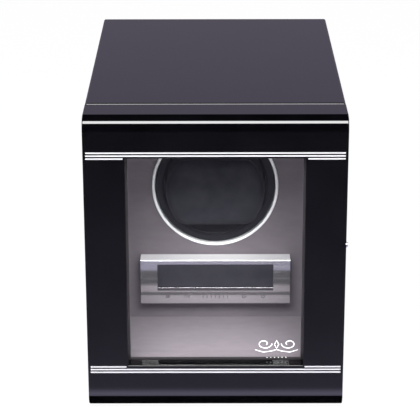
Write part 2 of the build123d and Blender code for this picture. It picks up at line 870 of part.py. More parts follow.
with BuildPart() as motor_lead:
    cable(
        [
            (-cable_x, board_back, cable_z),
            (-cable_x, fascia_back, cable_z),
            (-cable_x + 1, fascia_back + 8, cable_z - 3),
            (-cable_x + 8, plate_front - 12, cable_z - 10),
            (0, plate_front - 9, motor_height - motor_radius - 0.1),
        ],
        (0, 1, 0),
        (0, 0, 1),
    )
save(motor_lead, "motor_lead")

with BuildPart() as power_lead:
    cable(
        [
            (cable_x, board_back, cable_z),
            (cable_x, fascia_back, cable_z),
            (cable_x + 2, fascia_back + 10, cable_z - 8),
            (cable_x + 6, plate_back + 10, cable_z - 20),
            (jack_x - 3, jack_inner - 34, jack_z - 14),
            (jack_x, jack_inner, jack_z),
        ],
        (0, 1, 0),
        (0, 1, 0),
    )
save(power_lead, "power_lead")

with BuildPart() as dc_jack:
    rod(jack_radius, jack_inner, rear, [(jack_x, jack_z)])
    rod(jack_flange_radius, rear, rear + jack_flange, [(jack_x, jack_z)])
    rod(jack_bore, rear - jack_well, rear + jack_flange, [(jack_x, jack_z)], Mode.SUBTRACT)
    rod(jack_pin_radius, rear - jack_well, rear + jack_pin_proud, [(jack_x, jack_z)])
save(dc_jack, "dc_jack")

with BuildPart() as jack_nut:
    with BuildSketch(facing_front(rear - rear_panel_thickness, x=jack_x, z=jack_z)):
        RegularPolygon(jack_nut_radius, 6)
        Circle(jack_radius, mode=Mode.SUBTRACT)
    extrude(amount=jack_nut_thickness)
save(jack_nut, "jack_nut")

# ---------------------------------------------------------------- hinges and latch
with BuildPart() as case_hinge_leaves:
    hinge_leaves(case_leaf_y, 1, (0, 2))
    hinge_bores(hinge_pin)
save(case_hinge_leaves, "case_hinge_leaves")

with BuildPart() as door_hinge_leaves:
    hinge_leaves(door_leaf_y, -1, (1,))
    hinge_bores(hinge_pin + running)
save(door_hinge_leaves, "door_hinge_leaves")

with BuildPart() as hinge_pins:
    for z in hinge_heights:
        with BuildSketch(Plane.XY.offset(z - hinge_length / 2)):
            with Locations((hinge_x, hinge_y)):
                Circle(hinge_pin)
        extrude(amount=hinge_length)
save(hinge_pins, "hinge_pins")

with BuildPart() as case_hinge_screws:
    countersunk(
        facing_front(case_leaf_y), leaf_screw_points, leaf_screw_radius, leaf_screw_head, leaf_screw_length
    )
save(case_hinge_screws, "case_hinge_screws")

with BuildPart() as door_hinge_screws:
    mirrored = [(-x, z) for x, z in leaf_screw_points]
    countersunk(
        facing_rear(door_leaf_y), mirrored, leaf_screw_radius, leaf_screw_head, leaf_screw_length
    )
save(door_hinge_screws, "door_hinge_screws")

with BuildPart() as latch_magnets:
    rod(magnet_radius, case_front, case_front + magnet_depth, latch_points)
save(latch_magnets, "latch_magnets")

with BuildPart() as strike_plates:
    rod(strike_radius, door_back - strike_depth, door_back, latch_points)
save(strike_plates, "strike_plates")

with BuildPart() as door_bumpers:
    rod(bumper_radius, door_back, door_back + bumper_thickness, bumper_points)
save(door_bumpers, "door_bumpers")

# ---------------------------------------------------------------- door
upper_lines = (upper_inlay, upper_inlay - inlay_pitch)
lower_lines = (lower_inlay, lower_inlay + inlay_pitch)
short_middle = (inlay_end + short_inlay_start) / 2
short_length = inlay_end - short_inlay_start


def inlay_lines(y, amount, lines, short_line, mode=Mode.ADD):
    """Two lines across the door and one short line on each stile, extruded forward from depth y."""
    with BuildSketch(facing_front(y)) as profile:
        with Locations(*[(0, z) for z in lines]):
            Rectangle(2 * inlay_end, inlay_width)
        with Locations((-short_middle, short_line), (short_middle, short_line)):
            Rectangle(short_length, inlay_width)
    extrude(profile.sketch, amount=amount, mode=mode)


upper_short = upper_inlay - 2 * inlay_pitch
lower_short = lower_inlay + 2 * inlay_pitch


def is_window_rim(edge):
    """True for the edges round the window opening on the door's front face."""
    centre = edge.center()
    beside = abs(centre.X) < window_side + 0.1
    level = window_low - 0.1 < centre.Z < window_high + 0.1
    return beside and level and abs(centre.Y - front) < 0.01


with BuildPart() as door_frame:
    with BuildSketch(side_section(x=-side)):
        with Locations((front + door_thickness / 2, middle_height)):
            Rectangle(door_thickness, height)
        fillet(vertices().group_by(Axis.X)[0], bullnose_radius)
        fillet(vertices().group_by(Axis.X)[-1], seam_edge_radius)
    extrude(amount=width)
    ends = faces().filter_by(Axis.X)
    fillet(ends.edges(), door_side_radius)
    block((-window_side, front - 1, window_low), (window_side, door_back + 1, window_high), Mode.SUBTRACT)
    block(
        (-pocket_side, front + slab_thickness, pocket_low),
        (pocket_side, door_back + 1, pocket_high),
        Mode.SUBTRACT,
    )
    fillet(edges().filter_by(is_window_rim), window_edge_radius)
    inlay_lines(front + inlay_groove, inlay_groove + 1, upper_lines, upper_short, Mode.SUBTRACT)
    inlay_lines(front + inlay_groove, inlay_groove + 1, lower_lines, lower_short, Mode.SUBTRACT)
    hinge_mortise(door_leaf_y, -1)
    rod(strike_radius + snug, door_back - strike_depth, door_back + 1, latch_points, Mode.SUBTRACT)
    with BuildSketch(Plane(origin=(side, pull_y, pull_z), x_dir=(0, 1, 0), z_dir=(1, 0, 0))):
        Circle(pull_stem_radius + snug)
    extrude(amount=-pull_stem_length - 0.5, mode=Mode.SUBTRACT)
save(door_frame, "door_frame")

with BuildPart() as inlay_strips:
    inlay_lines(front + inlay_groove, inlay_groove + inlay_proud, upper_lines, upper_short)
    inlay_lines(front + inlay_groove, inlay_groove + inlay_proud, lower_lines, lower_short)
save(inlay_strips, "inlay_strips")

glass_front = front + slab_thickness
glass_back = glass_front + glass_thickness

with BuildPart() as door_glass:
    block(
        (-pocket_side + glass_gap, glass_front, pocket_low + glass_gap),
        (pocket_side - glass_gap, glass_back, pocket_high - glass_gap),
    )
    chamfer(edges().group_by(Axis.Y)[-1], glass_bevel)
save(door_glass, "door_glass")


def pocket_strips(y_from, y_to, reach, side_reach, gap):
    """Four strips round the pocket: full-width ones above and below, shorter ones at the sides."""
    block((-pocket_side, y_from, pocket_low), (pocket_side, y_to, pocket_low + reach))
    block((-pocket_side, y_from, pocket_high - reach), (pocket_side, y_to, pocket_high))
    for hand in (-1, 1):
        x_low, x_high = sorted((hand * (pocket_side - side_reach), hand * pocket_side))
        block((x_low, y_from, pocket_low + reach + gap), (x_high, y_to, pocket_high - reach - gap))


with BuildPart() as glass_beads:
    pocket_strips(glass_back, glass_back + bead_depth, bead_width, side_bead_width, 0.1)
save(glass_beads, "glass_beads")

with BuildPart() as door_lining:
    pocket_strips(glass_back + bead_depth, door_back, liner, liner, 0.1)
save(door_lining, "door_lining")

with BuildPart() as door_pull:
    with BuildSketch(Plane(origin=(side, pull_y, pull_z), x_dir=(1, 0, 0), z_dir=(0, -1, 0))):
        with BuildLine():
            Line((-pull_stem_length, 0), (-pull_stem_length, pull_stem_radius))
            Line((-pull_stem_length, pull_stem_radius), (pull_neck, pull_stem_radius))
            Line((pull_neck, pull_stem_radius), (pull_neck, pull_radius))
            Line((pull_neck, pull_radius), (pull_proud - pull_round, pull_radius))
            JernArc((pull_proud - pull_round, pull_radius), (1, 0), pull_round, -90)
            Line((pull_proud, pull_radius - pull_round), (pull_proud, 0))
            Line((pull_proud, 0), (-pull_stem_length, 0))
        make_face()
    revolve(axis=Axis((side, pull_y, pull_z), (1, 0, 0)))
save(door_pull, "door_pull")
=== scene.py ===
import json
import math

import bmesh
import bpy
from mathutils import Matrix, Vector
from mathutils.bvhtree import BVHTree

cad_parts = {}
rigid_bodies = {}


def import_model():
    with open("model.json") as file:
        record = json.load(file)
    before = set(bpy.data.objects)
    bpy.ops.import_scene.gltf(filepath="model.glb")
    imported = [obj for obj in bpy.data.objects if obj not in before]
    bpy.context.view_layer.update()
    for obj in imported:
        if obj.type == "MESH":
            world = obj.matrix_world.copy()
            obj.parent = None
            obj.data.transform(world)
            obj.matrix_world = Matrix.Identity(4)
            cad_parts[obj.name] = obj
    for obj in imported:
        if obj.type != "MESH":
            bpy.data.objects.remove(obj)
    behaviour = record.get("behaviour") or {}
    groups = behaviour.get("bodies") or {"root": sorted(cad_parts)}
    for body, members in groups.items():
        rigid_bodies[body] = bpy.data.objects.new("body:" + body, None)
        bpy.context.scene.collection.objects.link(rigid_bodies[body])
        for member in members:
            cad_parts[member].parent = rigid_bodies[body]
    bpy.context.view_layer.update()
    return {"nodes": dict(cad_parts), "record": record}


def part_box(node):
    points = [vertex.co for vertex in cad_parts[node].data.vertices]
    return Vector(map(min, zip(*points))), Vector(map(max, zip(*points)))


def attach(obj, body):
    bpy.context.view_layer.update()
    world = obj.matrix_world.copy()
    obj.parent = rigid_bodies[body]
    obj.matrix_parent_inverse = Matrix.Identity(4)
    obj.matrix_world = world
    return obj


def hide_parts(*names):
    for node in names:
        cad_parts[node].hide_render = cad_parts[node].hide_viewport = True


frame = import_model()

nodes = frame["nodes"]

MM = 0.001

# ---------------------------------------------------------------- places taken from the frame
door_low, door_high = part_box("door_frame")
table_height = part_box("rubber_feet")[0].z
glass_low, glass_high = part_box("door_glass")
pillow_low, pillow_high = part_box("pillow_cover")
panel_low, panel_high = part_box("panel_housing")
display_low, display_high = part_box("display_window")

pillow_centre = (pillow_low + pillow_high) / 2
pillow_radius = (pillow_high.x - pillow_low.x) / 2
pillow_rise = (pillow_high.z - pillow_low.z) / 2
pillow_length = pillow_high.y - pillow_low.y


# ---------------------------------------------------------------- node tools
class Graph:
    """A shader node tree with short calls for the nodes used here."""

    def __init__(self, tree):
        self.tree = tree

    def link(self, source, target):
        self.tree.links.new(source, target)

    def feed(self, value, socket):
        """Sets a socket from a number, a tuple or another node's output."""
        if isinstance(value, bpy.types.NodeSocket):
            self.link(value, socket)
        else:
            socket.default_value = value

    def math(self, operation, a, b=0.0):
        node = self.tree.nodes.new("ShaderNodeMath")
        node.operation = operation
        self.feed(a, node.inputs[0])
        self.feed(b, node.inputs[1])
        return node.outputs[0]

    def vector(self, operation, a, b=(0, 0, 0)):
        node = self.tree.nodes.new("ShaderNodeVectorMath")
        node.operation = operation
        self.feed(a, node.inputs[0])
        self.feed(b, node.inputs[1])
        return node.outputs["Value" if operation == "LENGTH" else "Vector"]

    def parts(self, source):
        """The X, Y and Z outputs of a vector."""
        split = self.tree.nodes.new("ShaderNodeSeparateXYZ")
        self.link(source, split.inputs["Vector"])
        return split.outputs

    def spread(self, source, low, high, start=0.3, end=0.7, smooth=False):
        """Maps a value between start and end to low and high."""
        ramp = self.tree.nodes.new("ShaderNodeMapRange")
        ramp.interpolation_type = "SMOOTHSTEP" if smooth else "LINEAR"
        ramp.inputs["From Min"].default_value = start
        ramp.inputs["From Max"].default_value = end
        ramp.inputs["To Min"].default_value = low
        ramp.inputs["To Max"].default_value = high
        self.link(source, ramp.inputs["Value"])
        return ramp.outputs["Result"]

    def mix_colour(self, factor, a, b):
        mix = self.tree.nodes.new("ShaderNodeMix")
        mix.data_type = "RGBA"
        self.feed(factor, mix.inputs["Factor"])
        self.feed(a, mix.inputs["A"])
        self.feed(b, mix.inputs["B"])
        return mix.outputs["Result"]

    def mix_shader(self, factor, a, b):
        mix = self.tree.nodes.new("ShaderNodeMixShader")
        self.feed(factor, mix.inputs["Fac"])
        self.link(a, mix.inputs[1])
        self.link(b, mix.inputs[2])
        return mix.outputs["Shader"]

    def shader_node(self, kind, **sockets):
        node = self.tree.nodes.new(kind)
        for name, value in sockets.items():
            self.feed(value, node.inputs[name])
        return node.outputs[0]

    def texture_place(self, kind):
        """One output of the Texture Coordinate node, such as Object."""
        return self.tree.nodes.new("ShaderNodeTexCoord").outputs[kind]

    def ray(self, kind):
        """One output of the Light Path node, such as Is Camera Ray."""
        return self.tree.nodes.new("ShaderNodeLightPath").outputs[kind]


class Finish(Graph):
    """A Principled material and short calls for the textures that feed it."""

    def __init__(self, name, colour, roughness, metallic=0.0):
        self.material = bpy.data.materials.new(name)
        self.material.use_nodes = True
        super().__init__(self.material.node_tree)
        self.shader = self.tree.nodes["Principled BSDF"]
        self.set("Base Color", (*colour, 1.0))
        self.set("Roughness", roughness)
        self.set("Metallic", metallic)
        self.set("IOR", 1.5)
        self.place = self.texture_place("Object")

    def set(self, socket, value):
        self.shader.inputs[socket].default_value = value

    def drive(self, socket, source):
        self.link(source, self.shader.inputs[socket])

    def surface(self, shader):
        self.link(shader, self.tree.nodes["Material Output"].inputs["Surface"])

    def noise(self, size_mm, detail=2.0, stretch=(1, 1, 1)):
        """Noise whose features are about size_mm across, longer along an axis whose stretch is above 1."""
        mapping = self.tree.nodes.new("ShaderNodeMapping")
        mapping.inputs["Scale"].default_value = [1 / s for s in stretch]
        self.link(self.place, mapping.inputs["Vector"])
        noise = self.tree.nodes.new("ShaderNodeTexNoise")
        noise.inputs["Scale"].default_value = 1 / (size_mm * MM)
        noise.inputs["Detail"].default_value = detail
        self.link(mapping.outputs["Vector"], noise.inputs["Vector"])
        return noise.outputs["Fac"]

    def weave(self, pitch_mm, direction):
        """Parallel threads pitch_mm apart across an axis: at scale 1, bands repeat every 0.314 units."""
        wave = self.tree.nodes.new("ShaderNodeTexWave")
        wave.bands_direction = direction
        wave.inputs["Scale"].default_value = 0.314 / (pitch_mm * MM)
        wave.inputs["Distortion"].default_value = 0.6
        wave.inputs["Detail"].default_value = 1.0
        self.link(self.place, wave.inputs["Vector"])
        return wave.outputs["Fac"]

    def blend(self, source, dark, light, start=0.3, end=0.7):
        """A colour between dark and light, chosen by a texture value."""
        return self.mix_colour(self.spread(source, 0.0, 1.0, start, end), (*dark, 1.0), (*light, 1.0))

    def colour(self, source):
        self.drive("Base Color", source)

    def roughness(self, source):
        self.drive("Roughness", source)

    def bump(self, height, depth_mm, strength=1.0):
        """Relief of about depth_mm; a second call adds to the first."""
        bump = self.tree.nodes.new("ShaderNodeBump")
        bump.inputs["Strength"].default_value = strength
        bump.inputs["Distance"].default_value = depth_mm * MM
        self.link(height, bump.inputs["Height"])
        normal = self.shader.inputs["Normal"]
        if normal.is_linked:
            self.link(normal.links[0].from_socket, bump.inputs["Normal"])
        self.link(bump.outputs["Normal"], normal)
        return bump.outputs["Normal"]


def scaled(colour, factor):
    return tuple(c * factor for c in colour)


# ---------------------------------------------------------------- finishes
def lacquer():
    """Black piano lacquer: nearly a mirror, with the faint waviness and wiping haze of a polished coat."""
    f = Finish("lacquer", (0.001, 0.001, 0.0015), 0.03)
    f.roughness(f.spread(f.noise(14, 4), 0.02, 0.05))
    f.bump(f.noise(9, 1), 0.004, 0.5)
    f.colour(f.blend(f.noise(30), (0.0008, 0.0008, 0.0011), (0.0015, 0.0015, 0.002)))
    return f.material


def suede(name, colour, nap_mm):
    """Short-napped suede: brushed patches, a fine pile and a soft sheen."""
    f = Finish(name, colour, 0.95)
    broad = f.noise(22, 3, stretch=(2.2, 1.2, 1))
    narrow = f.noise(3.0, 4, stretch=(3, 1.5, 1))
    patches = f.math("ADD", broad, narrow)
    f.colour(f.blend(patches, scaled(colour, 0.93), scaled(colour, 1.06), 0.75, 1.25))
    f.bump(f.noise(nap_mm, 3), 0.12, 0.55)
    f.set("Sheen Weight", 0.25)
    f.set("Sheen Roughness", 0.5)
    f.set("Sheen Tint", (0.9, 0.85, 0.9, 1))
    f.set("Specular IOR Level", 0.15)
    return f.material


def pillow_fabric():
    """Charcoal micro-suede with a fine weave under the nap."""
    dark, light = (0.013, 0.013, 0.017), (0.026, 0.026, 0.033)
    f = Finish("pillow_fabric", light, 0.9)
    weave = f.math("MULTIPLY", f.weave(0.5, "X"), f.weave(0.5, "Z"))
    mottle = f.math("ADD", f.noise(9, 4), f.math("MULTIPLY", weave, 0.25))
    f.colour(f.blend(mottle, dark, light, 0.35, 0.85))
    f.bump(weave, 0.06, 0.5)
    f.bump(f.noise(0.35, 3), 0.08, 0.5)
    f.set("Sheen Weight", 0.06)
    f.set("Sheen Roughness", 0.4)
    f.set("Specular IOR Level", 0.2)
    return f.material


def piping_cord():
    """Twisted cord that pipes a seam."""
    f = Finish("piping", (0.018, 0.018, 0.023), 0.7)
    f.colour(f.blend(f.noise(0.6), (0.012, 0.012, 0.016), (0.028, 0.028, 0.034)))
    f.bump(f.noise(0.4), 0.1, 0.6)
    return f.material


def foam():
    """Open-cell foam."""
    f = Finish("foam", (0.22, 0.22, 0.24), 1.0)
    f.colour(f.blend(f.noise(1.2), (0.14, 0.14, 0.15), (0.26, 0.26, 0.28)))
    f.bump(f.noise(0.8), 0.3, 0.8)
    return f.material


def felt():
    """Pressed black felt."""
    f = Finish("felt", (0.010, 0.010, 0.012), 1.0)
    f.colour(f.blend(f.noise(1.5, 4), (0.006, 0.006, 0.008), (0.016, 0.016, 0.019)))
    f.bump(f.noise(0.5, 4), 0.15, 0.7)
    f.set("Sheen Weight", 0.2)
    return f.material


def metal(name, colour, roughness, grain_mm, stretch=(1, 1, 1)):
    """Plated or turned metal with fine tool marks and slightly cloudy roughness."""
    f = Finish(name, colour, roughness, metallic=1.0)
    f.roughness(f.spread(f.noise(6, 3), roughness * 0.8, roughness * 1.3))
    f.bump(f.noise(grain_mm, 2, stretch), 0.004, 0.4)
    f.colour(f.blend(f.noise(8), scaled(colour, 0.94), colour))
    return f.material


def satin_silver():
    """Brushed silver of the inlaid lines, drawn lengthwise."""
    f = Finish("satin_silver", (0.52, 0.52, 0.53), 0.38, metallic=0.55)
    grain = f.noise(0.15, stretch=(40, 1, 1))
    f.colour(f.blend(grain, (0.49, 0.49, 0.50), (0.55, 0.55, 0.56)))
    f.roughness(f.spread(f.noise(7, 3), 0.33, 0.43))
    f.bump(grain, 0.002, 0.5)
    return f.material


def spun_silver():
    """Pale spun silver of the ring round the cup."""
    f = Finish("spun_silver", (0.96, 0.96, 0.97), 0.32)
    grain = f.noise(0.3)
    f.colour(f.blend(grain, (0.93, 0.93, 0.94), (0.98, 0.98, 0.99)))
    f.roughness(f.spread(f.noise(7, 3), 0.28, 0.36))
    f.bump(grain, 0.002, 0.5)
    return f.material


def plastic(name, colour, roughness, texture_mm=0.6, depth_mm=0.015):
    """Moulded plastic with a spark-eroded grain."""
    f = Finish(name, colour, roughness)
    f.roughness(f.spread(f.noise(5), roughness * 0.85, roughness * 1.15))
    f.bump(f.noise(texture_mm), depth_mm, 0.6)
    f.colour(f.blend(f.noise(12), scaled(colour, 0.85), scaled(colour, 1.1)))
    return f.material


def silver_coat():
    """Silver paint with a fine flake: nearly a mirror in front, with a painted highlight on its upward top
    face.
    """
    f = Finish("silver_coat", (0.55, 0.53, 0.55), 0.3)
    facing = f.parts(f.texture_place("Normal"))["Z"]
    upward = f.spread(facing, 0.0, 1.0, start=0.5, end=0.8, smooth=True)
    height = f.parts(f.place)["Z"]
    above = f.spread(height, 0.0, 1.0, start=display_high.z, end=panel_high.z - 1.0 * MM)
    # Painted highlight: up-facing surfaces above the display turn near white and barely metallic, standing
    # in for light falling on the top
    painted_top_highlight = f.math("MULTIPLY", upward, above)
    flake = f.noise(0.25, 1)
    face = f.blend(flake, (0.60, 0.585, 0.60), (0.66, 0.645, 0.66))
    f.colour(f.mix_colour(painted_top_highlight, face, (0.97, 0.96, 0.97, 1)))
    f.drive("Metallic", f.spread(painted_top_highlight, 0.86, 0.1, start=0, end=1))
    f.roughness(f.spread(f.noise(2, 3), 0.045, 0.075))
    f.bump(flake, 0.0012, 0.4)
    return f.material


def fibreboard():
    """Raw fibreboard: short brown fibres and a few dark flecks."""
    f = Finish("fibreboard", (0.36, 0.26, 0.17), 0.9)
    fibres = f.math("ADD", f.noise(1.2, 4, stretch=(3, 1, 1)), f.noise(0.5))
    f.colour(f.blend(fibres, (0.25, 0.17, 0.10), (0.44, 0.33, 0.22), 0.7, 1.3))
    f.bump(fibres, 0.06, 0.5)
    return f.material


def circuit_board():
    """Green solder mask with copper tracks showing faintly through it."""
    f = Finish("circuit_board", (0.01, 0.08, 0.035), 0.35)
    tracks = f.math("MULTIPLY", f.weave(2.2, "X"), f.weave(1.6, "Z"))
    f.colour(f.blend(tracks, (0.008, 0.06, 0.028), (0.03, 0.16, 0.06), 0.3, 0.5))
    f.bump(tracks, 0.03, 0.5)
    return f.material


def float_glass():
    """Clear glass: light passes straight through, with a Fresnel reflection and a slight waviness."""
    tint, index = (0.985, 0.99, 0.99), 1.45
    f = Finish("door_glass", tint, 0.0)
    waviness = f.bump(f.noise(25, 1), 0.002)
    backfacing = f.tree.nodes.new("ShaderNodeNewGeometry").outputs["Backfacing"]
    entering = f.spread(backfacing, index, 1 / index, start=0, end=1)
    fresnel = f.shader_node("ShaderNodeFresnel", IOR=entering, Normal=waviness)
    through = f.shader_node("ShaderNodeBsdfTransparent", Color=(*tint, 1))
    pale = (0.9, 0.9, 0.9, 1)
    gloss = f.shader_node("ShaderNodeBsdfGlossy", Color=pale, Roughness=0.0, Normal=waviness)
    f.surface(f.mix_shader(fresnel, through, gloss))
    return f.material


def print_ink(name, colour):
    """Screen-printed ink with slightly uneven cover."""
    f = Finish(name, colour, 0.45)
    f.colour(f.blend(f.noise(0.7), scaled(colour, 0.85), colour))
    f.bump(f.noise(0.4, 1), 0.01, 0.4)
    return f.material


finishes = {
    "lacquered_wood": lacquer(),
    "suede": suede("suede", (0.180, 0.155, 0.172), 0.45),
    "fascia_suede": suede("fascia_suede", (0.150, 0.130, 0.146), 0.4),
    "pillow_fabric": pillow_fabric(),
    "foam": foam(),
    "felt": felt(),
    "chrome_trim": metal("chrome_trim", (0.86, 0.86, 0.88), 0.08, grain_mm=3.0),
    "board": fibreboard(),
    "glass": float_glass(),
    "silver_panel": silver_coat(),
    "display": plastic("smoked_display", (0.030, 0.030, 0.036), 0.12, texture_mm=8.0, depth_mm=0.004),
    "lcd": plastic("display_module", (0.03, 0.035, 0.035), 0.2, texture_mm=4.0, depth_mm=0.004),
    "circuit_board": circuit_board(),
    "black_plastic": plastic("black_plastic", (0.010, 0.010, 0.012), 0.35),
    "grey_plastic": plastic("grey_plastic", (0.2, 0.2, 0.21), 0.45),
    "key_chrome": metal("key_chrome", (0.36, 0.35, 0.37), 0.12, grain_mm=2.0),
    "steel": metal("zinc_steel", (0.55, 0.55, 0.56), 0.3, grain_mm=0.5),
    "chassis_steel": metal("chassis_steel", (0.5, 0.5, 0.52), 0.38, grain_mm=0.3, stretch=(1, 1, 12)),
    "bronze": metal("sintered_bronze", (0.62, 0.42, 0.2), 0.45, grain_mm=0.3),
    "brass_hardware": metal("polished_brass", (0.80, 0.62, 0.32), 0.18, grain_mm=1.0),
    "rubber": plastic("rubber", (0.018, 0.018, 0.018), 0.75, texture_mm=0.5, depth_mm=0.03),
    "clear_bumper": plastic("bumper", (0.45, 0.45, 0.46), 0.25, texture_mm=2.0, depth_mm=0.005),
    "cable": plastic("cable_sheath", (0.012, 0.012, 0.013), 0.5, texture_mm=0.8, depth_mm=0.02),
    "magnet": metal("nickel", (0.66, 0.64, 0.60), 0.2, grain_mm=1.0),
}

for entry in frame["record"]["subparts"]:
    materials = nodes[entry["node"]].data.materials
    materials.clear()
    materials.append(finishes[entry["material_slot"]])

nodes["inlay_strips"].data.materials[0] = satin_silver()
nodes["bezel_ring"].data.materials[0] = spun_silver()
# The glazing beads take a much darker copy of the suede: painted shade, for the shade they sit in behind the
# sill
nodes["glass_beads"].data.materials[0] = suede("shaded_bead_suede", (0.030, 0.026, 0.029), 0.4)


# ---------------------------------------------------------------- mesh tools
def add_object(name, mesh, material, body):
    piece = bpy.data.objects.new(name, mesh)
    bpy.context.scene.collection.objects.link(piece)
    mesh.materials.append(material)
    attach(piece, body)


def smooth(mesh):
    for face in mesh.polygons:
        face.use_smooth = True


def bridge(mesh, rings):
    """Four-sided faces from each ring of vertices to the next."""
    for ring, following in zip(rings, rings[1:]):
        for i in range(len(ring)):
            j = (i + 1) % len(ring)
            mesh.faces.new((ring[i], ring[j], following[j], following[i]))


def finished(mesh, name):
    """The mesh data of a finished bmesh, with its faces turned outward."""
    bmesh.ops.recalc_face_normals(mesh, faces=mesh.faces)
    data = bpy.data.meshes.new(name)
    mesh.to_mesh(data)
    mesh.free()
    return data


def tube_ring(mesh, point, along, radius, sides, flatten):
    """Vertices round a point, square to the direction along."""
    across = along.cross(Vector((0, 1, 0)))
    if across.length < 1e-6:
        across = Vector((1, 0, 0))
    across.normalize()
    up = along.cross(across)
    ring = []
    for s in range(sides):
        turn = 2 * math.pi * s / sides
        offset = across * math.cos(turn) * radius + up * math.sin(turn) * radius
        offset.y *= flatten
        ring.append(mesh.verts.new(point + offset))
    return ring


def tube_mesh(name, paths, radius, sides=8, flatten=1.0):
    """Round tubes along lists of points; a path whose ends meet is closed. flatten thins them along Y."""
    mesh = bmesh.new()
    for path in paths:
        points = [Vector(p) for p in path]
        closed = (points[0] - points[-1]).length < radius * 0.1
        if closed:
            points = points[:-1]
        last = len(points) - 1
        rings = []
        for i, point in enumerate(points):
            before = points[i - 1] if closed or i > 0 else point
            after = points[(i + 1) % len(points)] if closed or i < last else point
            along = (after - before).normalized()
            rings.append(tube_ring(mesh, point, along, radius, sides, flatten))
        if closed:
            bridge(mesh, rings + rings[:1])
        else:
            bridge(mesh, rings)
            mesh.faces.new(rings[0][::-1])
            mesh.faces.new(rings[-1])
    data = finished(mesh, name)
    smooth(data)
    return data


# ---------------------------------------------------------------- pillow
# The unstuffed pillow starts this far inside its CAD size, and its corners are eased by this much
PILLOW_SETBACK = 0.5 * MM
PILLOW_CORNER = 3 * MM
# Stuffing may move a point this far, and the front may swell this far past the CAD cover
PILLOW_CAP = 3.0 * MM
PILLOW_BULGE = 2.6 * MM
# Places along the unstuffed pillow, as shares of its length, each with its share of the full section
PILLOW_STATIONS = (
    (0.02, 0.80),
    (0.06, 0.91),
    (0.12, 0.975),
    (0.2, 1.0),
    (0.5, 1.0),
    (0.8, 1.0),
    (0.97, 0.98),
    (0.99, 0.94),
)

PILLOW_VOXEL = 3.2 * MM
PILLOW_PRESSURE = 4.0
CLOTH_STIFFNESS = 8
CLOTH_BENDING = 0.8
CLOTH_STEPS = 20

# The least room left round the sides, behind the rear and over the foam core
CUP_GAP = 0.2 * MM
REAR_GAP = 0.3 * MM
CORE_GAP = 0.9 * MM

# The piped seams, as shares of the pillow's length, sunk a little into its surface
SEAM_PLACES = (0.17, 0.86)
SEAM_SINK = 0.25 * MM
SEAM_CORNER = 5 * MM
SEAM_POINTS = 160
PIPING_RADIUS = 0.65 * MM


def pillow_outline(radius, rise, corner, steps=96):
    """Points round a disc with flats above and below, its four corners eased, in X and Z."""
    points = []
    for i in range(steps):
        turn = 2 * math.pi * i / steps
        x, z = radius * math.cos(turn), radius * math.sin(turn)
        over = abs(z) - (rise - corner)
        if over > 0:
            eased = rise - corner + corner * math.tanh(over / corner)
            z = math.copysign(eased, z)
        points.append((x, z))
    return points


def unstuffed_pillow():
    """The pillow before stuffing: stacked outlines that draw in at the front and rear."""
    radius = pillow_radius - PILLOW_SETBACK
    rise = pillow_rise - PILLOW_SETBACK
    mesh = bmesh.new()
    rings = []
    for along, scale in PILLOW_STATIONS:
        y = pillow_low.y + along * pillow_length
        outline = pillow_outline(radius * scale, rise * scale, PILLOW_CORNER)
        rings.append(
            [mesh.verts.new((pillow_centre.x + x, y, pillow_centre.z + z)) for x, z in outline]
        )
    bridge(mesh, rings)
    mesh.faces.new(rings[0])
    mesh.faces.new(rings[-1][::-1])
    return finished(mesh, "pillow")


def make_active(piece):
    bpy.ops.object.select_all(action="DESELECT")
    piece.select_set(True)
    bpy.context.view_layer.objects.active = piece


def stuff(piece):
    """Inflates a closed mesh as cloth, keeping every point within the cap of where it started."""
    make_active(piece)
    remesh = piece.modifiers.new("remesh", "REMESH")
    remesh.mode = "VOXEL"
    remesh.voxel_size = PILLOW_VOXEL
    bpy.ops.object.modifier_apply(modifier=remesh.name)
    start = [v.co.copy() for v in piece.data.vertices]
    cloth = piece.modifiers.new("cloth", "CLOTH")
    cloth.settings.use_pressure = True
    cloth.settings.uniform_pressure_force = PILLOW_PRESSURE
    cloth.settings.effector_weights.gravity = 0
    cloth.settings.tension_stiffness = CLOTH_STIFFNESS
    cloth.settings.compression_stiffness = CLOTH_STIFFNESS
    cloth.settings.bending_stiffness = CLOTH_BENDING
    scene = bpy.context.scene
    for step in range(1, CLOTH_STEPS + 1):
        scene.frame_set(step)
    bpy.ops.object.modifier_apply(modifier=cloth.name)
    scene.frame_set(1)
    for vertex, origin in zip(piece.data.vertices, start):
        move = vertex.co - origin
        if move.length > PILLOW_CAP:
            vertex.co = origin + move.normalized() * PILLOW_CAP


def clear_of_core(piece):
    """Pushes out any point of the cover that lies too near the foam core."""
    core = nodes["pillow_core"]
    corners = [core.matrix_world @ v.co for v in core.data.vertices]
    surface = BVHTree.FromPolygons(corners, [tuple(p.vertices) for p in core.data.polygons])
    for vertex in piece.data.vertices:
        nearest, normal, _, _ = surface.find_nearest(vertex.co)
        if (vertex.co - nearest).dot(normal) < CORE_GAP:
            vertex.co = nearest + normal * CORE_GAP


def keep_in_cup(piece):
    """Holds the sides inside the cup's lining, the rear short of its CAD end and the front's swell small."""
    limit = pillow_radius - CUP_GAP
    foremost, rearmost = pillow_low.y - PILLOW_BULGE, pillow_high.y - REAR_GAP
    for vertex in piece.data.vertices:
        x, z = vertex.co.x - pillow_centre.x, vertex.co.z - pillow_centre.z
        reach = math.hypot(x, z)
        if reach > limit:
            vertex.co.x = pillow_centre.x + x * limit / reach
            vertex.co.z = pillow_centre.z + z * limit / reach
        vertex.co.y = min(max(vertex.co.y, foremost), rearmost)


def subdivide(piece):
    make_active(piece)
    modifier = piece.modifiers.new("subdivide", "SUBSURF")
    modifier.levels = modifier.render_levels = 1
    bpy.ops.object.modifier_apply(modifier=modifier.name)


